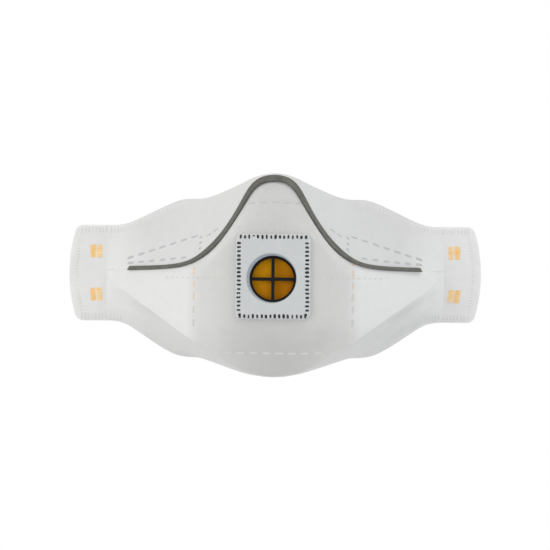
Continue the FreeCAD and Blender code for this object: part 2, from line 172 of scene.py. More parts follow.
class Surface:
    """A panel's outer surface: points and normals at each station, from its top row to its bottom row."""

    def __init__(self, node, height):
        tree = tree_of(node)
        self.rows = round(height / ROW_STEP)
        grid = np.array([section(tree, x, self.rows) for x in STATIONS])
        grid = relax(relax(grid, RELAX_PASSES, 0), RELAX_PASSES, 1)
        self.points = grid
        self.normals = grid_normals(grid)
        self.relief = np.zeros(grid.shape[:2])

    def at(self, x, share):
        """Point, normal and way down the panel, at a distance x from the middle and a share of its height."""
        i = station_of(x)
        j = min(max(share, 0.0), 1.0) * (self.rows - 1)
        i0, j0 = min(int(i), len(STATIONS) - 2), min(int(j), self.rows - 2)
        a, b = i - i0, j - j0

        def mixed(field):
            near = field[i0, j0] * (1 - b) + field[i0, j0 + 1] * b
            return near * (1 - a) + (field[i0 + 1, j0] * (1 - b) + field[i0 + 1, j0 + 1] * b) * a

        down = unit(self.points[i0, j0 + 1] - self.points[i0, j0])
        normal = unit(mixed(self.normals))
        place = mixed(self.points) - normal * mixed(self.relief[..., None])
        return place, normal, down

    def share_at_z(self, x, z):
        """The share of the height where the panel is at z, counted from its top row."""
        column = self.points[round(station_of(x)), :, 2]
        order = np.argsort(column)
        return float(np.interp(z, column[order], order / (self.rows - 1)))

    def height_at(self, x):
        return float(run_along(self.points[round(station_of(x))])[-1])


def join_along(a, row_a, b, row_b):
    """Make two panels share the row where they meet, and mitre their normals there."""
    middle = (a.points[:, row_a] + b.points[:, row_b]) / 2
    a.points[:, row_a] = middle
    b.points[:, row_b] = middle
    both = unit(a.normals[:, row_a] + b.normals[:, row_b])
    lean = np.maximum((both * a.normals[:, row_a]).sum(-1, keepdims=True), MITRE_LEAST)
    a.normals[:, row_a] = both / lean
    b.normals[:, row_b] = both / lean


upper = Surface("upper_outer_web", 46 * MM)
centre = Surface("centre_outer_web", 112 * MM)
lower = Surface("lower_outer_web", 44 * MM)
join_along(upper, -1, centre, 0)
join_along(centre, -1, lower, 0)


# ======== relief of the laminate ========

WAVES = 7


def soft_noise(x, z, scale, seed):
    """Smooth bumps, mostly between -1 and 1, from a few crossed waves."""
    waves = random.Random(seed)
    total = np.zeros_like(x)
    for _ in range(WAVES):
        way = waves.uniform(0, math.pi)
        length = scale * waves.uniform(0.7, 1.6)
        phase = waves.uniform(0, 2 * math.pi)
        total += np.sin((x * math.cos(way) + z * math.sin(way)) * 2 * math.pi / length + phase)
    return total / 4.0


def valley(distance, width):
    return np.exp(-(distance / width) ** 2)


stiffener_low, stiffener_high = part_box("centre_stiffener")
flat_low, flat_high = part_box("valve_patch")
CROSS_LINE_Z = -4.4 * MM
UPPER_LINE_Z = 22.9 * MM
CREASE_Z = -34.6 * MM
EDGE_REACH = 0.08  # share of a panel's height
END_REACH = 12 * MM


def near_box(x, z, low, high):
    """Within 1 mm of a CAD box that is the same on both sides of the middle, as seen from the front."""
    return (np.abs(x) < high.x + MM) & (z < high.z + MM) & (z > low.z - MM)


def centre_relief(surface):
    """How far each point of the centre panel sinks: the quilted weld lines and a soft unevenness."""
    x, z = surface.points[..., 0], surface.points[..., 2]
    inside = near_box(x, z, stiffener_low, stiffener_high)
    sink = np.zeros_like(x)
    level_lines = ((stiffener_high.z, 1.0), (stiffener_low.z, 1.0), (UPPER_LINE_Z, 0.5), (CREASE_Z, 0.45))
    for line_z, depth in level_lines:
        sink = np.maximum(sink, valley(z - line_z, GROOVE_WIDTH) * depth * inside)
    sink = np.maximum(sink, valley(z - CROSS_LINE_Z, GROOVE_WIDTH) * 0.5 * (np.abs(x) < 84 * MM))
    for side in (-1, 1):
        sink = np.maximum(sink, valley(x - side * stiffener_high.x, GROOVE_WIDTH) * inside)
    near_valve = near_box(x, z, flat_low, flat_high)
    uneven = soft_noise(x, z, 34 * MM, 3) * 0.10 * MM + soft_noise(x, z, 13 * MM, 5) * 0.05 * MM
    return np.where(near_valve, 0.05 * MM, sink * GROOVE_DEPTH + uneven)


def side_relief(surface, seed):
    x, z = surface.points[..., 0], surface.points[..., 2]
    return soft_noise(x, z, 30 * MM, seed) * 0.16 * MM + soft_noise(x, z, 12 * MM, seed + 1) * 0.05 * MM


def lower_relief(surface):
    """The lower panel tucks in under its fold line near the tabs, and has a soft valley on the right."""
    x = surface.points[..., 0]
    run = run_down(surface)
    near_tab = smooth_step(np.abs(x), 50 * MM, 68 * MM) * (1 - smooth_step(np.abs(x), 84 * MM, 91 * MM))
    tuck = valley(run - 4.5 * MM, 3.2 * MM) * near_tab * 1.1 * MM
    middle = 15 * MM + (x - 76 * MM) * -0.25
    second = valley(run - middle, 3 * MM) * valley(x - 74 * MM, 16 * MM) * 0.9 * MM
    return side_relief(surface, 21) + tuck + second


def smooth_step(value, low, high):
    share = np.clip((value - low) / (high - low), 0, 1)
    return share * share * (3 - 2 * share)


def run_down(surface):
    """The length along the panel from its top row to each point."""
    return run_along(surface.points, 1)


def edge_ease(surface):
    """0 at the first and last row and where the tabs begin, 1 away from them."""
    share = np.linspace(0, 1, surface.rows)[None, :]
    ease = np.clip(share / EDGE_REACH, 0, 1) * np.clip((1 - share) / EDGE_REACH, 0, 1)
    return ease * np.clip((BODY_HALF - np.abs(STATIONS)) / END_REACH, 0, 1)[:, None]


centre.relief = centre_relief(centre) * edge_ease(centre)
upper.relief = side_relief(upper, 11) * edge_ease(upper)
lower.relief = lower_relief(lower) * edge_ease(lower)


def rim_share(surface, at_top):
    """1 at the welded rim of the face opening, 0 past its width."""
    run = run_down(surface)
    distance = run if at_top else run[:, -1:] - run
    return np.clip(1 - distance / RIM_WIDTH, 0, 1)


RIM = {"centre": 0.0, "upper": rim_share(upper, True), "lower": rim_share(lower, False)}


# ======== meshes ========

def finish_mesh(name, points, faces, material):
    mesh = bpy.data.meshes.new(name)
    mesh.from_pydata(points, [], faces)
    mesh.validate()
    shade_smooth(mesh)
    mesh.materials.append(material)
    return linked(name, mesh)


def linked(name, data):
    thing = bpy.data.objects.new(name, data)
    bpy.context.scene.collection.objects.link(thing)
    return thing


def shade_smooth(mesh):
    mesh.polygons.foreach_set("use_smooth", [True] * len(mesh.polygons))


def sharpen(piece, degrees):
    piece.data.set_sharp_from_angle(angle=math.radians(degrees))
    return piece


def loop_faces(rows, count, closed):
    """Faces between rows of points that each go all round. closed joins the last row to the first."""
    faces = []
    for i in range(rows if closed else rows - 1):
        j = (i + 1) % rows
        for k in range(count):
            n = (k + 1) % count
            faces.append((i * count + k, i * count + n, j * count + n, j * count + k))
    return faces


def on_mask(piece, slot, *nodes):
    """A piece that stands for CAD nodes of the mask's body."""
    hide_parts(*nodes)
    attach(piece, "mask_body")


def layer_piece(name, panel, surface, layer, material, hole=None):
    """One layer of a panel as a closed thin sheet that follows the relief."""
    grids = []
    for depth in LAYERS[layer]:
        pressed = LAMINATE / 2 + (depth - LAMINATE / 2) * (1 - (1 - RIM_PRESS) * RIM[panel])
        sunk = pressed + surface.relief * (1 - depth / LAMINATE)
        grids.append(surface.points - surface.normals * sunk[..., None])
    return sheet_piece(name, grids[0], grids[1], material, hole)


def sheet_piece(name, front, back, material, hole=None):
    """A closed sheet between two grids. hole is (centre, axis, radius) of a round hole through it."""
    nx, ny = front.shape[:2]
    index = np.arange(nx * ny).reshape(nx, ny)
    cells = np.stack([index[:-1, :-1], index[1:, :-1], index[1:, 1:], index[:-1, 1:]], axis=-1).reshape(-1, 4)
    points = [front.reshape(-1, 3), back.reshape(-1, 3)]
    if hole:
        centre_point, axis, radius = hole
        kept = np.ones(nx * ny, bool)
        for k in (0, 1):
            offset = points[k] - centre_point
            offset = offset - (offset @ axis)[:, None] * axis
            distance = np.linalg.norm(offset, axis=1)
            if k == 0:
                kept = distance >= radius
                cells = cells[kept[cells].all(axis=1)]
                count = np.bincount(cells.ravel(), minlength=nx * ny)
                rim = (count > 0) & (count < 4) & (distance < radius + 3 * STATION_STEP)
            push = np.where(rim, radius / np.maximum(distance, 1e-9) - 1, 0)
            points[k] = points[k] + offset * push[:, None]
    total = nx * ny
    used = np.unique(cells)
    edges = {}
    for cell in cells:
        for k in range(4):
            a, b = int(cell[k]), int(cell[(k + 1) % 4])
            if (b, a) in edges:
                del edges[(b, a)]
            else:
                edges[(a, b)] = True
    faces = [tuple(map(int, c)) for c in cells]
    faces += [tuple(int(v) + total for v in c[::-1]) for c in cells]
    faces += [(b, a, a + total, b + total) for a, b in edges]
    keep = np.concatenate([used, used + total])
    renumber = -np.ones(2 * total, int)
    renumber[keep] = np.arange(len(keep))
    faces = [tuple(int(renumber[v]) for v in f) for f in faces]
    everything = np.concatenate(points)[keep]
    piece = finish_mesh(name, everything.tolist(), faces, material)
    recalculate(piece)
    return sharpen(piece, 50)


def recalculate(piece):
    work = bmesh.new()
    work.from_mesh(piece.data)
    bmesh.ops.recalc_face_normals(work, faces=work.faces)
    work.to_mesh(piece.data)
    work.free()


class Marks:
    """Many small rounded pads on surfaces, gathered into one piece."""

    def __init__(self):
        self.points, self.faces = [], []

    def add(self, place, normal, along, length, width, rise=MARK_RISE, sink=MARK_SINK, corner=0.5):
        normal, along = unit(np.array(normal, float)), np.array(along, float)
        along = unit(along - normal * (along @ normal))
        across = np.cross(normal, along)
        rings = ((1.0, -sink), (1.0, rise * 0.3), (0.82, rise))
        start = len(self.points)
        for scale, height in rings:
            for k in range(MARK_SIDES):
                angle = 2 * math.pi * k / MARK_SIDES
                c, s = math.cos(angle), math.sin(angle)
                u = math.copysign(abs(c) ** corner, c) * (length / 2 - (1 - scale) * width / 2)
                v = math.copysign(abs(s) ** corner, s) * scale * width / 2
                self.points.append(tuple(place + along * u + across * v + normal * height))
        for face in loop_faces(len(rings), MARK_SIDES, False):
            self.faces.append(tuple(start + v for v in face))
        end = len(self.points)
        self.faces.append(tuple(range(end - MARK_SIDES, end)))
        self.faces.append(tuple(range(start + MARK_SIDES - 1, start - 1, -1)))

    def piece(self, name, material):
        return sharpen(finish_mesh(name, self.points, self.faces, material), 45)


# ======== materials ========

class Nodes:
    """A material's node tree with short ways to add to it."""

    def __init__(self, name):
        self.material = bpy.data.materials.new(name)
        self.material.use_nodes = True
        self.tree = self.material.node_tree
        self.shader = next(n for n in self.tree.nodes if n.type == "BSDF_PRINCIPLED")
        self.place = self.tree.nodes.new("ShaderNodeTexCoord").outputs["Object"]

    def add(self, kind, inputs=None, **settings):
        node = self.tree.nodes.new(kind)
        for key, value in settings.items():
            setattr(node, key, value)
        for key, value in (inputs or {}).items():
            self.put(node.inputs[key], value)
        return node

    def put(self, socket, value):
        if isinstance(value, bpy.types.NodeSocket):
            self.tree.links.new(value, socket)
        else:
            socket.default_value = value

    def set(self, **values):
        for key, value in values.items():
            self.put(self.shader.inputs[key.replace("_", " ")], value)

    def noise(self, scale, detail=3.0, rough=0.55, stretch=None, turn=(0, 0, 0)):
        place = self.place
        if stretch:
            mapping = {"Vector": place, "Scale": stretch, "Rotation": turn}
            place = self.add("ShaderNodeMapping", mapping).outputs[0]
        inputs = {"Vector": place, "Scale": scale, "Detail": detail, "Roughness": rough}
        return self.add("ShaderNodeTexNoise", inputs).outputs["Fac"]

    def maths(self, operation, a, b=0.5):
        return self.add("ShaderNodeMath", {0: a, 1: b}, operation=operation).outputs[0]

    def scaled(self, value, by, plus):
        return self.maths("ADD", self.maths("MULTIPLY", value, by), plus)

    def cells(self, scale, **more):
        return self.add("ShaderNodeTexVoronoi", {"Vector": self.place, "Scale": scale, **more}).outputs[0]

    def ramp(self, value, stops):
        node = self.add("ShaderNodeValToRGB", {"Fac": value})
        band = node.color_ramp
        while len(band.elements) < len(stops):
            band.elements.new(0.5)
        for element, (place, colour) in zip(band.elements, stops):
            element.position = place
            element.color = (*colour, 1)
        return node.outputs["Color"]

    def times(self, colour, other):
        inputs = {"Factor": 1.0, 6: colour, 7: other}
        return self.add("ShaderNodeMix", inputs, data_type="RGBA", blend_type="MULTIPLY").outputs[2]

    def tone(self):
        """The shade and tint that a piece's mesh holds point by point."""
        return self.add("ShaderNodeAttribute", attribute_name="tone").outputs["Color"]

    def bump(self, height, strength, distance):
        inputs = {"Height": height, "Strength": strength, "Distance": distance}
        return self.add("ShaderNodeBump", inputs).outputs["Normal"]


def shades(colour, spread):
    return [min(1, c * (1 - spread)) for c in colour], [min(1, c * (1 + spread)) for c in colour]


def web_material(name, colour, spread=0.018, bump=0.35, toned=True):
    """White nonwoven web: tangled fine fibres, bond points and slightly cloudy density."""
    m = Nodes(name)
    low, high = shades(colour, spread)
    cloud = m.ramp(m.noise(210, 4, 0.6), [(0.3, low), (0.7, high)])
    fibres = m.maths("MAXIMUM", m.noise(900, 2, 0.6, (1, 1, 9), (0.3, 0.5, 0.2)),
                     m.noise(900, 2, 0.6, (9, 1, 1), (0.2, 0.3, 0.9)))
    fibres = m.maths("ADD", fibres, m.noise(620, 2, 0.6, (5, 5, 1), (0.9, 0.2, 0.5)))
    bonds = m.cells(900.0, Randomness=0.25)
    height = m.maths("ADD", fibres, m.maths("MULTIPLY", bonds, 0.35))
    strand = m.ramp(fibres, [(0.45, (0.95, 0.95, 0.95)), (0.75, (1, 1, 1))])
    shade = m.times(cloud, strand)
    if toned:
        shade = m.times(shade, m.tone())
    m.set(Base_Color=shade, Roughness=m.scaled(fibres, 0.15, 0.66), Normal=m.bump(height, bump, 0.14 * MM))
    m.set(Sheen_Weight=0.2, Sheen_Roughness=0.5, Specular_IOR_Level=0.2)
    m.set(Subsurface_Weight=0.15, Subsurface_Radius=(1, 1, 1), Subsurface_Scale=1.2 * MM)
    return m.material


def plastic_material(name, colour, roughness, specular=0.5):
    """Moulded plastic with a fine matt grain and faint flow marks."""
    m = Nodes(name)
    low, high = shades(colour, 0.16)
    grain = m.noise(1500, 2)
    flow = m.noise(130, 3, 0.5, (1, 1, 3))
    m.set(Base_Color=m.ramp(flow, [(0.3, low), (0.7, high)]), Normal=m.bump(grain, 0.22, 0.06 * MM))
    m.set(Roughness=m.scaled(grain, 0.2, roughness - 0.1), Specular_IOR_Level=specular)
    return m.material


def metal_material():
    """The nose clip: soft metal with a dark matt lacquer, rubbed a little lighter in places."""
    m = Nodes("clip_lacquer")
    grain = m.noise(1700, 3, 0.7)
    wear = [(0.36, (0.10, 0.099, 0.083)), (0.62, (0.14, 0.139, 0.119)), (0.86, (0.20, 0.20, 0.175))]
    rubbed = m.ramp(m.noise(240, 4, 0.65, (1, 1, 2)), wear)
    speckle = m.ramp(grain, [(0.35, (0.80, 0.80, 0.80)), (0.65, (1, 1, 1))])
    m.set(Base_Color=m.times(rubbed, speckle), Metallic=0.15, Normal=m.bump(grain, 0.4, 0.09 * MM))
    m.set(Roughness=m.scaled(grain, 0.3, 0.35))
    return m.material


AMBER_SHADE_REACH = 54.72 * MM  # of the painted shade's change across the disc, lighter to its upper left, across and down together
AMBER_SHADE_BIAS = 0.375 + 5 * MM / AMBER_SHADE_REACH  # the disc's middle is 5 mm below the origin


def rubber_material():
    """The valve's disc: thin amber silicone, with a painted shade that leaves it lighter towards its upper
    left and darker to its lower right.
    """
    m = Nodes("amber_rubber")
    x, _, z = m.add("ShaderNodeSeparateXYZ", {0: m.place}).outputs
    # painted shade: the colour runs from dark at the lower right to light at the upper left, with random
    # mottling
    across = m.maths("MULTIPLY", m.maths("SUBTRACT", z, x), 1 / AMBER_SHADE_REACH)
    depth = m.maths("ADD", m.maths("ADD", across, m.maths("MULTIPLY", m.noise(120, 2), 0.25)), AMBER_SHADE_BIAS)
    colour = m.ramp(depth, [(0.1, (0.36, 0.115, 0.0)), (0.5, (0.50, 0.20, 0.0)), (0.9, (0.66, 0.31, 0.0))])
    fine = m.noise(900, 2)
    m.set(Base_Color=colour, Normal=m.bump(fine, 0.12, 0.05 * MM), Specular_IOR_Level=0.08)
    m.set(Roughness=m.scaled(fine, 0.2, 0.45))
    return m.material


CORD_PITCH = 0.8 * MM
PICK_PITCH = 0.7 * MM


def elastic_material():
    """Orange woven elastic: cords along its length with a fine cross weave over them."""
    m = Nodes("band_elastic")
    along = m.add("ShaderNodeUVMap", uv_map="strap").outputs[0]
    length, width = m.add("ShaderNodeSeparateXYZ", {0: along}).outputs[:2]
    row = m.maths("MULTIPLY", width, 1 / CORD_PITCH)
    cords = m.maths("ABSOLUTE", m.maths("SINE", m.maths("MULTIPLY", row, math.pi)))
    shift = m.maths("MULTIPLY", m.maths("FLOOR", row), math.pi / 2)
    wave = m.maths("ADD", m.maths("MULTIPLY", length, math.pi / PICK_PITCH), shift)
    picks = m.maths("ABSOLUTE", m.maths("SINE", wave))
    weave = m.maths("MULTIPLY", cords, m.scaled(picks, 0.5, 0.5))
    thread = m.ramp(weave, [(0.1, (0.55, 0.16, 0.015)), (0.6, (0.86, 0.33, 0.04)), (1.0, (0.93, 0.45, 0.09))])
    fuzz = m.noise(1600, 2)
    worn = m.ramp(m.noise(70, 3), [(0.35, (0.90, 0.90, 0.90)), (0.65, (1, 1, 1))])
    height = m.maths("ADD", weave, m.maths("MULTIPLY", fuzz, 0.25))
    m.set(Base_Color=m.times(thread, worn), Roughness=m.scaled(fuzz, 0.2, 0.6))
    m.set(Normal=m.bump(height, 0.6, 0.2 * MM), Specular_IOR_Level=0.25)
    m.set(Sheen_Weight=0.3, Sheen_Roughness=0.4)
    return m.material


def mark_material(name, colour, spread, roughness):
    """Web that is pressed or melted through: a little uneven in shade, and smoother than the rest."""
    m = Nodes(name)
    low, high = shades(colour, spread)
    shade = m.ramp(m.noise(420, 3, 0.6), [(0.3, low), (0.7, high)])
    pits = m.noise(1800, 2)
    m.set(Base_Color=m.times(shade, m.tone()), Normal=m.bump(pits, 0.3, 0.08 * MM), Specular_IOR_Level=0.3)
    m.set(Roughness=m.scaled(pits, 0.25, roughness - 0.12))
    return m.material


def foam_material():
    """Grey open-cell foam."""
    m = Nodes("nose_foam_grey")
    cells = m.cells(1300.0)
    shade = m.ramp(cells, [(0.05, (0.30, 0.30, 0.29)), (0.5, (0.50, 0.50, 0.48))])
    broad = m.ramp(m.noise(90, 2), [(0.3, (0.93, 0.93, 0.93)), (0.7, (1, 1, 1))])
    m.set(Base_Color=m.times(shade, broad), Roughness=m.scaled(cells, 0.2, 0.8))
    m.set(Normal=m.bump(cells, 0.7, 0.4 * MM), Specular_IOR_Level=0.15)
    return m.material


WEB = web_material("web_white", (0.74, 0.742, 0.738))
INNER = web_material("inner_white", (0.72, 0.72, 0.71), 0.012, 0.22, False)
FILTER = web_material("filter_white", (0.76, 0.76, 0.745), 0.03, 0.5, False)
PATCH = web_material("patch_white", (0.565, 0.580, 0.585), 0.02, 0.3)
PLASTIC = plastic_material("valve_black", (0.009, 0.009, 0.009), 0.45, specular=0.12)
SEAT = plastic_material("seat_black", (0.03, 0.03, 0.031), 0.5)
CLIP = metal_material()
RUBBER = rubber_material()
ELASTIC = elastic_material()
FOAM = foam_material()
TICK_BLACK = mark_material("weld_black", (0.035, 0.038, 0.042), 0.35, 0.5)
BAND_MARK = mark_material("weld_orange", (0.88, 0.52, 0.17), 0.06, 0.6)
PRESSED = mark_material("weld_pressed", (0.72, 0.72, 0.72), 0.03, 0.6)


# ======== the valve's own frame ========

lift = next(j for j in frame["joints"] if j["name"] == "valve_disc_lift")
OUT = np.array(lift["axis"], float)
RIGHT = np.array([1.0, 0, 0])
UP = np.cross(OUT, RIGHT)
disc_low, disc_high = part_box("valve_diaphragm")
DISC_MIDDLE = np.array((disc_low + disc_high) / 2)


def depths_of(node):
    """The least and greatest distance of a node along the valve's axis, from the disc's middle."""
    along = [(np.array(v.co) - DISC_MIDDLE) @ OUT for v in frame["nodes"][node].data.vertices]
    return min(along), max(along)


def size_of(node):
    """A node's half width, and its lowest and highest point up the valve's front, from the disc's middle."""
    offsets = [np.array(v.co) - DISC_MIDDLE for v in frame["nodes"][node].data.vertices]
    across, up = [o @ RIGHT for o in offsets], [o @ UP for o in offsets]
    return max(across), min(up), max(up)


def on_valve(x, up, out):
    return DISC_MIDDLE + RIGHT * x + UP * up + OUT * out


HOLE = (DISC_MIDDLE, OUT, 14.2 * MM)  # through the centre panel, as (centre, axis, radius)


# ======== the panels ========

def toned(piece, colours):
    """Give a piece's mesh its shade and tint, point by point."""
    layer = piece.data.color_attributes.new("tone", "FLOAT_COLOR", "POINT")
    flat = np.ones((len(piece.data.vertices), 4))
    flat[:, :3] = colours
    layer.data.foreach_set("color", flat.ravel())


NET_SHADE = 0.13
# painted shade: how much darker the centre panel is made at its middle
MIDDLE_PAINTED_SHADE = 0.12
# painted shade on the upper and lower panels, against the tabs
FLAP_PAINTED_SHADE = 0.14
NET_TINT = np.array([1.0, 0.997, 0.983])


def panel_tone(place):
    """The net behind the centre panel makes it greyer where it lies, and a painted shade darkens the panel
    further towards its middle.
    """
    x = np.abs(place[:, 0])
    behind = 1 - smooth_step(x, stiffener_high.x - 4 * MM, stiffener_high.x + 5 * MM)
    # painted shade, strongest at x = 0 and gone by 46 mm out
    middle = 1 - smooth_step(x, 0, 46 * MM)
    shade = 1 - NET_SHADE * behind - MIDDLE_PAINTED_SHADE * middle
    return shade[:, None] * (1 - (1 - NET_TINT) * behind[:, None])


def flap_tone(place):
    """The side panels carry a painted shade that makes them a little greyer than the tabs; it eases off so
    they meet the tabs in the same shade.
    """
    shade = 1 - FLAP_PAINTED_SHADE * (1 - smooth_step(np.abs(place[:, 0]), 66 * MM, 92 * MM))
    return shade[:, None] * np.ones(3)


def make_panels():
    for panel, surface in (("upper", upper), ("centre", centre), ("lower", lower)):
        for layer, material in (("outer_web", WEB), ("filter", FILTER), ("inner_web", INNER)):
            hole = HOLE if panel == "centre" else None
            piece = layer_piece(f"{panel}_{layer}_soft", panel, surface, layer, material, hole)
            on_mask(piece, layer, f"{panel}_{layer}")
            if layer == "outer_web":
                place = np.array([v.co for v in piece.data.vertices])
                toned(piece, panel_tone(place) if panel == "centre" else flap_tone(place))
            if panel == "centre" and layer == "filter":
                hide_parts("centre_stiffener")


# ======== the side tabs ========

TAB_OVERLAP = 0.5 * MM
TAB_EDGE = 2.2 * MM  # how far in the plies are pressed together
TAB_PRESS = 0.5
TAB_STEP = 0.9 * MM
TAB_EVEN = 0.86  # share of the tab's length with evenly spaced points
TAB_CLOSE = np.array([0.11, 0.075, 0.045, 0.02, 0.006, 0])  # shares before its end, of the closer ones
TAB_ROUND = 0.35 * MM


def spaced(low, high, step):
    """Even steps, with closer ones at each end."""
    inner = np.linspace(low, high, round((high - low) / step) + 1)
    ends = np.array([0.12, 0.3, 0.55]) * step
    return np.sort(np.concatenate([inner, low + ends, high - ends]))


class Tab:
    """A tab's rows from bottom to top, each from the body out to the tab's bowed end."""

    def __init__(self, name, side):
        self.name, self.side = name, side
        low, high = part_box(f"{name}_tab_front_ply")
        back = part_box(f"{name}_tab_back_ply")[1].y
        self.half = (back - low.y) / 2
        self.low, self.high = low.z, high.z
        self.root = BODY_HALF + 0.05 * MM - TAB_OVERLAP
        self.tree = tree_of(f"{name}_tab_front_ply")
        self.depth = (low.y + high.y) / 2
        self.rows = spaced(self.low + 1e-5, self.high - 1e-5, TAB_STEP)
        self.ends = np.array([self.end_at(z) for z in self.rows])
        self.shares = np.concatenate([np.linspace(0, TAB_EVEN, 19), 1 - TAB_CLOSE])

    def end_at(self, z):
        start = Vector((self.side * FAN_REACH, self.depth, z))
        return abs(self.tree.ray_cast(start, Vector((-self.side, 0, 0)), FAN_REACH)[0].x)

    def sides(self):
        """Front and back, pressed together at the edge, with two shallow folds that run in from the cup."""
        z = self.rows[:, None] + 0 * self.shares[None, :]
        x = self.root + (self.ends[:, None] - self.root) * self.shares[None, :]
        inset = np.minimum(np.minimum(z - self.low, self.high - z), self.ends[:, None] - x)
        inset = np.maximum(inset, 0)
        full = smooth_step(inset, 0, TAB_EDGE)
        half = self.half * (TAB_PRESS + (1 - TAB_PRESS) * full)
        half = half * np.sqrt(np.clip(inset / TAB_ROUND, 0.02, 1))
        ease = smooth_step(x, self.root + 1 * MM, self.root + 7 * MM) * full
        wave = soft_noise(x, z, 20 * MM, 31 + self.side) * 0.22 * MM * ease
        for fold_z, fall in ((-0.6 * MM, 0.10), (-3.0 * MM, -0.25)):
            line = fold_z + (x - self.root) * fall
            wave = wave + valley(z - line, 1.1 * MM) * np.exp(-(x - self.root) / (6 * MM)) * 0.35 * MM * ease
        front = np.stack([self.side * x, -half + wave, z], axis=-1)
        back = np.stack([self.side * x, half + wave, z], axis=-1)
        return front, back

    def make(self):
        front, back = self.sides()
        self.front = front
        piece = sheet_piece(f"{self.name}_tab_soft", front, back, WEB)
        toned(piece, 1.0)
        on_mask(piece, "tab_web", f"{self.name}_tab_front_ply", f"{self.name}_tab_back_ply")

    def face_at(self, x, z):
        """The front of the tab at a distance from the middle, x, and a height."""
        i = int(np.clip(np.searchsorted(self.rows, z), 0, len(self.rows) - 1))
        j = int(np.clip(np.searchsorted(np.abs(self.front[i, :, 0]), x), 0, len(self.shares) - 1))
        return np.array([self.side * x, self.front[i, j, 1], z])


# ======== weld marks and stitches ========

FRONT = np.array([0.0, -1.0, 0.0])


def lay(marks, surface, x, share, size):
    """A mark that runs down a panel."""
    place, normal, down = surface.at(x, share)
    marks.add(place, normal, down, *size)


def row_of_dashes(marks, surface, z, xs, size=DASH):
    """Dashes that look level from the front, at one height."""
    for x in xs:
        x = x + RANDOM.uniform(-0.15, 0.15) * MM
        height = z + RANDOM.uniform(-0.12, 0.12) * MM
        ends = (x - size[0] / 2, x + size[0] / 2)
        start, end = [surface.at(e, surface.share_at_z(e, height))[0] for e in ends]
        place, normal, _ = surface.at(x, surface.share_at_z(x, height))
        marks.add(place, normal, end - start, *size)


def slanted_dashes(marks, surface, start, end, count, size):
    """Dashes along the straight line, as seen from the front, between two (x, z) points."""
    places = []
    for k in range(count):
        share = (k + 0.5) / count
        x, z = start[0] + (end[0] - start[0]) * share, start[1] + (end[1] - start[1]) * share
        places.append(surface.at(x, surface.share_at_z(x, z)))
    for k, (place, normal, _) in enumerate(places):
        other = places[k + 1][0] - place if k + 1 < count else place - places[k - 1][0]
        marks.add(place, normal, other, *size)


def rim_ticks(marks, surface, at_top, low_x, high_x):
    """The comb of short welds just inside a panel's rim, on both sides of the mask."""
    rim = surface.points[:, 0 if at_top else -1]
    run = run_along(rim)
    for distance in np.arange(TICK_PITCH / 2, run[-1], TICK_PITCH):
        x = float(np.interp(distance, run, rim[:, 0]))
        if low_x <= abs(x) <= high_x:
            inset = (TICK_INSET + TICK[0] / 2) / surface.height_at(x)
            size = (TICK[0] * RANDOM.uniform(0.85, 1.1), TICK[1] * RANDOM.uniform(0.8, 1.1))
            lay(marks, surface, x, inset if at_top else 1 - inset, size)


TAB_TICK_INSET = 1.2 * MM
TAB_TICK_STOP = 6 * MM  # before the tab's corners
END_TICK_INSET = 4.4 * MM
END_TICK_PITCH = 1.6 * MM


def tab_ticks(marks, tab):
    """The comb along a tab's top and bottom, and the fine one up its end."""
    for z, sign in ((tab.high, -1), (tab.low, 1)):
        x = tab.root + TAB_OVERLAP
        while x < tab.ends.max() - TAB_TICK_STOP:
            place = tab.face_at(x, z + sign * (TAB_TICK_INSET + TICK[0] / 2))
            marks.add(place, FRONT, (0, 0, 1), TICK[0] * RANDOM.uniform(0.85, 1.1), TICK[1])
            x += TICK_PITCH
    for z in np.arange(tab.low + TAB_TICK_STOP, tab.high - TAB_TICK_STOP, END_TICK_PITCH):
        end = float(np.interp(z, tab.rows, tab.ends))
        marks.add(tab.face_at(end - END_TICK_INSET, z), FRONT, (1, 0, 0), *END_TICK)


def pressed_piece(marks, name, tint):
    piece = marks.piece(name, PRESSED)
    toned(piece, tint)
    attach(piece, "mask_body")


NET_ROW_X = [x * MM for x in (-12.3, -5.7, 0.9, 7.5, 13.4)]
NET_BOTTOM_X = [(-31 + 6.9 * i) * MM for i in range(10)]
NET_SIDE_Z = {-1: [z * MM for z in (-0.6, -7.6, -14.5, -21.6, -28.8)],
              1: [z * MM for z in (4.2, -2.0, -8.3, -14.5, -21.3, -28.6)]}
ORANGE_TINT = np.array([1.0, 0.80, 0.62])
FADED_TINT = np.array([0.80, 0.79, 0.77])


def faded_rows():
    """The upright rows at the sides of the net, tinted orange at the top and fading downwards."""
    marks, tints = Marks(), []
    for side, heights in NET_SIDE_Z.items():
        for k, z in enumerate(heights):
            before = len(marks.points)
            x = side * stiffener_high.x
            lay(marks, centre, x, centre.share_at_z(x, z), SIDE_DASH)
            fade = 0.9 * (1 - k / (len(heights) - 1)) ** 1.2
            tint = FADED_TINT + (ORANGE_TINT - FADED_TINT) * fade
            tints += [tint] * (len(marks.points) - before)
    pressed_piece(marks, "net_side_dashes", np.array(tints))


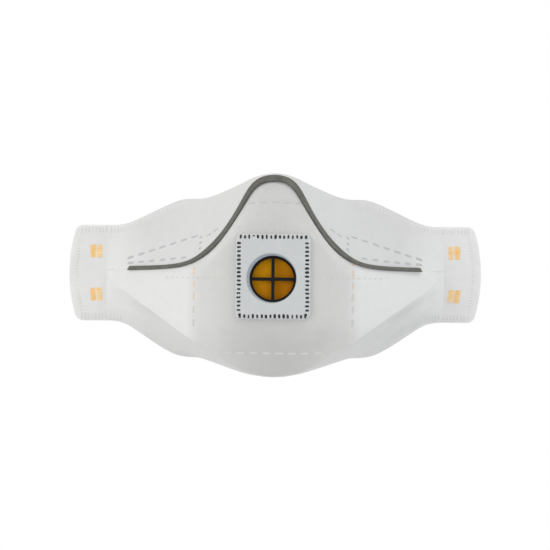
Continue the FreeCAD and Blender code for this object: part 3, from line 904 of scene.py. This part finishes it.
def make_marks():
    dashes = Marks()
    row_of_dashes(dashes, centre, stiffener_high.z, NET_ROW_X, TOP_DASH)
    pressed_piece(dashes, "net_top_dashes", (0.70, 0.68, 0.64))

    bottom = Marks()
    row_of_dashes(bottom, centre, stiffener_low.z, NET_BOTTOM_X)
    pressed_piece(bottom, "net_bottom_dashes", (0.92, 0.915, 0.90))
    faded_rows()

    fine = Marks()
    row_of_dashes(fine, centre, UPPER_LINE_Z, np.arange(-24.65, 25, 2.9) * MM, STITCH)
    level = [x for x in np.arange(-58, 58.1, 2.9) * MM if abs(x) > flat_high.x + 1.5 * MM]
    row_of_dashes(fine, centre, CROSS_LINE_Z, level, STITCH)
    pressed_piece(fine, "net_fine_stitches", (0.86, 0.81, 0.74))

    grey = Marks()
    for side in (-1, 1):
        def at(x, z):
            return side * x * MM, z * MM
        slanted_dashes(grey, upper, at(82, 5.4), at(40.5, 19.0), 7, FLAP_DASH)
        slanted_dashes(grey, upper, at(82, 3.1), at(46, 6.6), 6, FLAP_DASH)
        slanted_dashes(grey, upper, at(37, 18.2), at(30, 22.2), 2, CORNER_DASH)
        slanted_dashes(grey, upper, at(40, 19.0), at(40, 9.8), 3, UPRIGHT_DASH)
    pressed_piece(grey, "flap_dashes", (0.66, 0.67, 0.69))

    ticks = Marks()
    rim_ticks(ticks, upper, True, 45 * MM, 92 * MM)
    rim_ticks(ticks, lower, False, 55 * MM, 92 * MM)
    for tab in tabs:
        tab_ticks(ticks, tab)
    pressed_piece(ticks, "rim_weld_ticks", (0.93, 0.93, 0.93))


# ======== the bands' welds and the headbands ========

WELD_BLOCK = (3.05 * MM, 1.34 * MM)
WELD_COLUMN = 3.45 * MM
WELD_ROW = 1.42 * MM
WELD_ROWS = 5
GLOW_SIZE = (WELD_ROWS * WELD_ROW + 0.6 * MM, WELD_BLOCK[0] + 0.7 * MM)
GLOW_TINT = np.array([0.90, 1.27, 3.1])  # the web round the blocks, with only a hint of the band's colour


def band_welds(tab, levels):
    """Small soft blocks where the bands' orange shows through the welds, a little slanted and uneven."""
    marks, tints = Marks(), []
    for level, slant in levels.items():
        low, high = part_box(f"{level}_{tab.name}_band_end")
        middle = (low + high) / 2
        for column in (-0.5, 0.5):
            column_x = abs(middle.x) + column * WELD_COLUMN * tab.side
            before = len(marks.points)
            marks.add(tab.face_at(column_x, middle.z), FRONT, (-slant * tab.side, 0, 1), *GLOW_SIZE,
                      rise=0.03 * MM, corner=0.7)
            tints += [GLOW_TINT] * (len(marks.points) - before)
            for row in range(WELD_ROWS):
                up = (row - (WELD_ROWS - 1) / 2) * WELD_ROW
                x = column_x - up * slant * tab.side
                x += RANDOM.uniform(-0.12, 0.12) * MM
                z = middle.z + up + RANDOM.uniform(-0.08, 0.08) * MM
                before = len(marks.points)
                size = (WELD_BLOCK[0] * RANDOM.uniform(0.9, 1.08), WELD_BLOCK[1] * RANDOM.uniform(0.85, 1.2))
                marks.add(tab.face_at(x, z), FRONT, (1, 0, RANDOM.uniform(-0.05, 0.05)), *size,
                          rise=0.10 * MM, corner=0.6)
                paler = RANDOM.uniform(0, 0.35) + (0.35 if (column < 0) == (tab.side > 0) else 0)
                tint = np.array([1.0, 1 + 0.35 * paler, 1 + 1.5 * paler])
                tints += [tint] * (len(marks.points) - before)
    piece = marks.piece(f"{tab.name}_band_weld_blocks", BAND_MARK)
    toned(piece, np.array(tints))
    on_mask(piece, "band_weld", f"{tab.name}_band_welds")


STRAP_STEP = 1.2 * MM
TWIST_OUT, TWIST_IN = 95.0 * MM, 83.5 * MM  # from the middle: where a strap starts and stops turning edge-on
HANG_AFTER = 1 * MM
ARC_MIDDLE = 0.48 * MM  # the arc's middle line above its solid's lowest point
CORDS = 10
CORD_RISE = 0.05 * MM


def arc_height(level, x):
    """The hanging arc's middle line: its height at a distance from the middle, from the band's own solid."""
    low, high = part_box(f"{level}_headband")
    half, sag = high.x, high.z - low.z
    radius = (half * half + sag * sag) / (2 * sag)
    return low.z + ARC_MIDDLE + radius - math.sqrt(radius * radius - x * x)


def strap_half(level, name, side):
    """Half of a headband: flat on the tab's back, turning edge-on, then hanging to the middle."""
    end_low, end_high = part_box(f"{level}_{name}_band_end")
    band_low, band_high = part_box(f"{level}_headband")
    flat_y, flat_z = (end_low.y + end_high.y) / 2, (end_low.z + end_high.z) / 2
    hung_y = (band_low.y + band_high.y) / 2
    width, thick = end_high.z - end_low.z, end_high.y - end_low.y
    outer = max(abs(end_low.x), abs(end_high.x))
    stations = np.linspace(outer, 0, round(outer / STRAP_STEP) + 1)
    turn = smooth_step(-stations, -TWIST_OUT, -TWIST_IN) * math.pi / 2
    hang = smooth_step(-stations, -TWIST_OUT - HANG_AFTER, -TWIST_IN - HANG_AFTER)
    y = flat_y + (hung_y - flat_y) * np.sin(turn)
    arc = np.array([arc_height(level, min(x, band_high.x)) for x in stations])
    z = flat_z + (arc - flat_z) * hang
    path = relax(np.stack([side * stations, y, z], axis=1), 3, 0)
    tangent = unit(np.gradient(path, axis=0))
    across = np.stack([0 * turn, np.sin(turn), np.cos(turn)], axis=1)
    across = unit(across - tangent * (across * tangent).sum(1, keepdims=True))
    out = np.cross(tangent, across)
    run = run_along(path)
    outline = strap_outline(width, thick)
    count = len(outline)
    points = [tuple(path[i] + across[i] * u + out[i] * v) for i in range(len(path)) for u, v in outline]
    faces = loop_faces(len(path), count, False)
    faces.append(tuple(range(count - 1, -1, -1)))
    faces.append(tuple(range((len(path) - 1) * count, len(path) * count)))
    piece = finish_mesh(f"{level}_headband_{name}", points, faces, ELASTIC)
    recalculate(piece)
    lay_out = piece.data.uv_layers.new(name="strap")
    for loop in piece.data.loops:
        i, k = divmod(loop.vertex_index, count)
        lay_out.data[loop.index].uv = (float(run[i]), float(outline[k][0]))
    sharpen(piece, 50)
    nodes = [f"{level}_{name}_band_end"] + ([f"{level}_headband"] if side < 0 else [])
    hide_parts(*nodes)
    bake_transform(piece)


def strap_outline(width, thick):
    """A flat strap's section with rounded edges and shallow cords along it, as (across, out) points."""
    top = []
    for k in range(4 * CORDS + 1):
        u = -width / 2 + thick / 3 + (width - 2 * thick / 3) * k / (4 * CORDS)
        rib = CORD_RISE * abs(math.sin(math.pi * k / 4))
        top.append((u, thick / 2 - CORD_RISE + rib))
    bottom = [(u, -v) for u, v in reversed(top)]
    right = [(width / 2, thick / 4), (width / 2, -thick / 4)]
    left = [(-u, -v) for u, v in right]
    return top + right + bottom + left


# ======== the nose clip and foam ========

def copied(node, name, material):
    """A piece with the same shape as a CAD node, to be given softer edges."""
    mesh = frame["nodes"][node].data.copy()
    mesh.name = name
    mesh.materials.clear()
    mesh.materials.append(material)
    return linked(name, mesh)


def applied(piece):
    """Make a piece's modifiers part of its mesh."""
    graph = bpy.context.evaluated_depsgraph_get()
    mesh = bpy.data.meshes.new_from_object(piece.evaluated_get(graph))
    piece.modifiers.clear()
    piece.data = mesh
    return piece


def weld(piece, distance):
    """Join a CAD mesh's doubled points and its flat triangles, so that a bevel finds only real edges."""
    work = bmesh.new()
    work.from_mesh(piece.data)
    bmesh.ops.remove_doubles(work, verts=work.verts, dist=distance)
    bmesh.ops.dissolve_limit(work, angle_limit=math.radians(0.5), verts=work.verts, edges=work.edges)
    work.to_mesh(piece.data)
    work.free()


CLIP_END_DEPTH = 1.5 * MM
CLIP_END_SLANT = 0.55


def make_clip():
    """The clip with its edges rounded and its ends cut at a slant."""
    piece = copied("nose_clip", "nose_clip_strip", CLIP)
    weld(piece, 0.01 * MM)
    low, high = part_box("nose_clip")
    for vertex in piece.data.vertices:
        if abs(vertex.co.x) > high.x - 0.05 * MM:
            drop = (vertex.co.z - (low.z + CLIP_END_DEPTH)) * CLIP_END_SLANT
            vertex.co.x += drop if vertex.co.x < 0 else -drop
    bevel = piece.modifiers.new("edges", "BEVEL")
    bevel.width = 0.16 * MM
    bevel.segments = 2
    bevel.limit_method = "ANGLE"
    bevel.angle_limit = math.radians(45)
    applied(piece)
    shade_smooth(piece.data)
    sharpen(piece, 35)
    on_mask(piece, "clip_metal", "nose_clip")


def make_foam():
    """The foam with its corners rounded off."""
    piece = copied("nose_foam", "nose_foam_pad", FOAM)
    remesh = piece.modifiers.new("cells", "REMESH")
    remesh.mode = "VOXEL"
    remesh.voxel_size = 0.6 * MM
    smooth = piece.modifiers.new("soft", "SMOOTH")
    smooth.iterations = 6
    applied(piece)
    shade_smooth(piece.data)
    on_mask(piece, "foam", "nose_foam")


# ======== the valve ========

def rounded_outline(half_x, low, high, corner, angle):
    """The point of a rounded rectangle's outline in a direction from the valve's axis."""
    c, s = math.cos(angle), math.sin(angle)
    reach = 1e9
    if abs(c) > 1e-9:
        reach = min(reach, half_x / abs(c))
    if abs(s) > 1e-9:
        reach = min(reach, (high if s > 0 else -low) / abs(s))
    x, z = c * reach, s * reach
    corner_x, corner_z = half_x - corner, (high if z > 0 else -low) - corner
    if abs(x) > corner_x and abs(z) > corner_z:
        mx, mz = math.copysign(corner_x, x), math.copysign(corner_z, z)
        b = c * mx + s * mz
        reach = b + math.sqrt(max(0, b * b - (mx * mx + mz * mz - corner * corner)))
        x, z = c * reach, s * reach
    return x, z


PATCH_SIDES = 240
PATCH_CORNER = 3.5 * MM
RECESS_RADIUS = 13.3 * MM
RECESS_SHIFT = np.array([-0.75 * MM, 0.35 * MM])
RECESS_FLOOR = 12.6 * MM
LIP_SHADE_TINT = np.array([0.55, 0.60, 0.66])  # painted shade of the lip's wall down into the port, with the black flange showing through where the lip is pressed thin
BEZEL_INNER = 11.9 * MM
BEZEL_LIP = 0.22 * MM
BEZEL_SIDES = 128


def round_ring(angles, radius, shift, out):
    """A round ring in the patch, moved by a share of the recess's shift."""
    x, up = RECESS_SHIFT * shift
    return [(x + radius * math.cos(a), up + radius * math.sin(a), out) for a in angles]


def make_patch():
    """The web over the valve's flange: soft outer edge, flat front, and a lip that rolls into the port."""
    half, low, high = size_of("valve_patch")
    back, front = depths_of("valve_patch")
    sunk = back - 0.35 * MM
    edge = [(-0.2, sunk), (-0.1, back + 0.02 * MM), (0.1, back + 0.45 * MM), (0.30, front - 0.30 * MM),
            (0.50, front - 0.12 * MM), (0.8, front - 0.04 * MM), (1.4, front)]
    angles = [2 * math.pi * (k + 0.5) / PATCH_SIDES for k in range(PATCH_SIDES)]
    rings = []
    for inset, out in edge:
        box = (half - inset * MM, low + inset * MM, high - inset * MM)
        rings.append([(*rounded_outline(*box, PATCH_CORNER, a), out) for a in angles])
    outer, inner = np.array(rings[-1]), np.array(round_ring(angles, RECESS_RADIUS + 0.5 * MM, 1, front))
    for share in np.linspace(0.15, 1, 9):
        rings.append(outer + (inner - outer) * share)
    lip = [(RECESS_RADIUS + 0.2 * MM, 1, 0.03), (RECESS_RADIUS, 1, 0.10),
           (RECESS_FLOOR + 0.15 * MM, 0.1, 0.30), (RECESS_FLOOR, 0, 0.36)]
    for radius, shift, depth in lip:
        rings.append(round_ring(angles, radius, shift, front - depth * MM))
    rings.append(round_ring(angles, RECESS_FLOOR, 0, sunk))
    flat = np.array(rings)
    uneven = soft_noise(flat[..., 0], flat[..., 1], 9 * MM, 41) * 0.05 * MM
    flat[4:-4, :, 2] += uneven[4:-4]
    points = [tuple(on_valve(*p)) for ring in flat for p in ring]
    piece = finish_mesh("valve_patch_web", points, loop_faces(len(rings), PATCH_SIDES, True), PATCH)
    shade = np.ones((len(rings), PATCH_SIDES, 3))
    # painted shade on the lip's last rings, and half of it on the ring before them
    shade[-4:] = LIP_SHADE_TINT
    shade[-5] = (1 + LIP_SHADE_TINT) / 2
    toned(piece, shade.reshape(-1, 3))
    recalculate(piece)
    sharpen(piece, 60)
    on_mask(piece, "patch_web", "valve_patch")


def make_bezel():
    """The valve's raised rim: a turned ring with rounded lips."""
    back, lip = depths_of("valve_bezel")[0], BEZEL_LIP
    top = depths_of("valve_patch")[1] - 0.12 * MM
    inner, outer = BEZEL_INNER, RECESS_FLOOR - 0.1 * MM  # clear of the patch's lip
    profile = [(inner, back), (inner, top - lip), (inner + 0.3 * lip, top - 0.3 * lip), (inner + lip, top),
               (outer - lip, top), (outer - 0.3 * lip, top - 0.3 * lip), (outer, top - lip), (outer, back)]
    points = []
    for k in range(BEZEL_SIDES):
        a = 2 * math.pi * k / BEZEL_SIDES
        points += [tuple(on_valve(r * math.cos(a), r * math.sin(a), out)) for r, out in profile]
    piece = finish_mesh("valve_bezel_ring", points, loop_faces(BEZEL_SIDES, len(profile), True), PLASTIC)
    recalculate(piece)
    sharpen(piece, 40)
    on_mask(piece, "valve_plastic", "valve_bezel")


TICKS_IN = 0.3 * MM  # of the ring, from the CAD's, to keep it on the flat of the patch
WELD_TICK = (2.3 * MM, 1.3 * MM)
WELD_TICKS = (16, 17)  # in the top and bottom rows, and in the upright ones
WELD_TICK_PITCH = (2.34 * MM, 2.26 * MM)
WELD_TICK_DRIFT = 0.02 * MM  # from one tick to the next, of the right row's lean


def make_weld_ticks():
    """The ring of short dark welds round the patch, uneven as pressed ones are."""
    marks, tints = Marks(), []
    half, low, high = size_of("valve_weld_ticks")
    front = depths_of("valve_patch")[1]
    length, width = WELD_TICK

    def tick(x, up, upright, stretch=1.0, turn=0.0):
        before = len(marks.points)
        way = (UP if upright else RIGHT) + (RIGHT if upright else UP) * (turn + RANDOM.uniform(-0.10, 0.10))
        place = on_valve(x + RANDOM.uniform(-0.10, 0.10) * MM, up + RANDOM.uniform(-0.12, 0.12) * MM, front)
        size = (length * stretch * RANDOM.uniform(0.86, 1.10), width * RANDOM.uniform(0.78, 1.15))
        marks.add(place, OUT, way, *size, rise=0.05 * MM, sink=0.1 * MM, corner=0.75)
        tints.extend([np.ones(3) * RANDOM.uniform(0.5, 1.5)] * (len(marks.points) - before))

    edge = TICKS_IN + length / 2
    inner_x, inner_low, inner_high = half - edge, low + edge, high - edge
    level, upright = [[k - (count - 1) / 2 for k in range(count)] for count in WELD_TICKS]
    for up in (inner_low, inner_high):
        for k in level:
            tick(k * WELD_TICK_PITCH[0], up, True)
    for side in (-1, 1):
        for k in upright:
            drift = -k * WELD_TICK_DRIFT if side > 0 else 0
            tick(side * inner_x + drift, (inner_low + inner_high) / 2 + k * WELD_TICK_PITCH[1], False)
        tick(side * (inner_x - 0.6 * MM), inner_low + 0.9 * MM, False, 0.8, 0.3)
    piece = marks.piece("valve_weld_tick_ring", TICK_BLACK)
    toned(piece, np.array(tints))
    on_mask(piece, "weld_black", "valve_weld_ticks")


def repaint(node, material):
    for material_slot in frame["nodes"][node].material_slots:
        material_slot.material = material


# ======== the scene ========

make_panels()
tabs = [Tab("left", -1), Tab("right", 1)]
for tab in tabs:
    tab.make()
make_marks()
band_welds(tabs[0], {"upper": 0.0, "lower": 0.10})
band_welds(tabs[1], {"upper": 0.05, "lower": -0.14})
for band in ("upper", "lower"):
    strap_half(band, "left", -1)
    strap_half(band, "right", 1)
make_clip()
make_foam()
make_patch()
make_bezel()
make_weld_ticks()
repaint("valve_cover", PLASTIC)
repaint("valve_seat", SEAT)
repaint("valve_diaphragm", RUBBER)


# ======== stage, light and camera ========

FLOOR_RADIUS = 0.55
FLOOR_Z = -0.2


def make_stage():
    place = (0, 0, FLOOR_Z)
    bpy.ops.mesh.primitive_circle_add(vertices=96, radius=FLOOR_RADIUS, fill_type="NGON", location=place)
    floor = bpy.context.object
    floor.name = "floor"
    m = Nodes("floor_pale")
    shade = m.ramp(m.noise(20, 2), [(0.3, (0.86, 0.86, 0.86)), (0.7, (0.89, 0.89, 0.89))])
    m.set(Base_Color=shade, Roughness=0.9)
    floor.data.materials.append(m.material)


def make_world():
    """A white studio, a little brighter from above, and seen as plain white behind the object."""
    world = bpy.data.worlds.new("studio")
    bpy.context.scene.world = world
    world.use_nodes = True
    tree = world.node_tree
    sky = tree.nodes["Background"]
    way = tree.nodes.new("ShaderNodeSeparateXYZ")
    tree.links.new(tree.nodes.new("ShaderNodeTexCoord").outputs["Generated"], way.inputs[0])
    above = tree.nodes.new("ShaderNodeMapRange")
    tree.links.new(way.outputs["Z"], above.inputs["Value"])
    for key, value in (("From Min", -1.0), ("From Max", 1.0), ("To Min", WORLD_LOW), ("To Max", WORLD_HIGH)):
        above.inputs[key].default_value = value
    seen = tree.nodes.new("ShaderNodeMix")
    tree.links.new(tree.nodes.new("ShaderNodeLightPath").outputs["Is Camera Ray"], seen.inputs["Factor"])
    tree.links.new(above.outputs["Result"], seen.inputs["A"])
    seen.inputs["B"].default_value = 1.0
    tree.links.new(seen.outputs["Result"], sky.inputs["Strength"])
    sky.inputs["Color"].default_value = (1, 1, 1, 1)


LIGHT_AIM = Vector((0, -0.02, 0))


def area_light(name, place, size, power, colour):
    light = bpy.data.lights.new(name, "AREA")
    light.shape = "DISK"
    light.size = size
    light.energy = power
    light.color = colour
    lamp = linked(name, light)
    lamp.location = place
    lamp.rotation_euler = (LIGHT_AIM - Vector(place)).to_track_quat("-Z", "Y").to_euler()


WORLD_LOW = 0.70
WORLD_HIGH = 0.72
VIEW_WIDTH = 0.3025  # what the frame takes in, at the object
CAMERA_DISTANCE = 2.4
CAMERA_AZIMUTH = math.radians(1.1)
CAMERA_ROLL = math.radians(0.4)
AIM = Vector((0, 0, -2.75 * MM))
SENSOR_WIDTH = 36


def make_camera():
    camera_data = bpy.data.cameras.new("camera")
    camera = linked("camera", camera_data)
    way = Vector((math.sin(CAMERA_AZIMUTH), -math.cos(CAMERA_AZIMUTH), 0))
    camera.location = AIM + way * CAMERA_DISTANCE
    look = (AIM - camera.location).to_track_quat("-Z", "Y").to_matrix()
    camera.rotation_euler = (look @ Matrix.Rotation(CAMERA_ROLL, 3, "Z")).to_euler()
    camera_data.sensor_width = SENSOR_WIDTH
    camera_data.lens = SENSOR_WIDTH * CAMERA_DISTANCE / VIEW_WIDTH
    camera_data.clip_end = 20
    bpy.context.scene.camera = camera


make_stage()
make_world()
area_light("key", (-1.6, -1.0, 0.55), 0.9, 13, (1.0, 0.995, 0.98))
area_light("right", (0.9, -0.5, 1.6), 0.9, 10, (1.0, 1.0, 1.0))
area_light("low_right", (1.75, -0.55, -0.55), 0.5, 6, (0.88, 0.94, 1.0))
make_camera()
bpy.context.scene.view_settings.view_transform = "Standard"
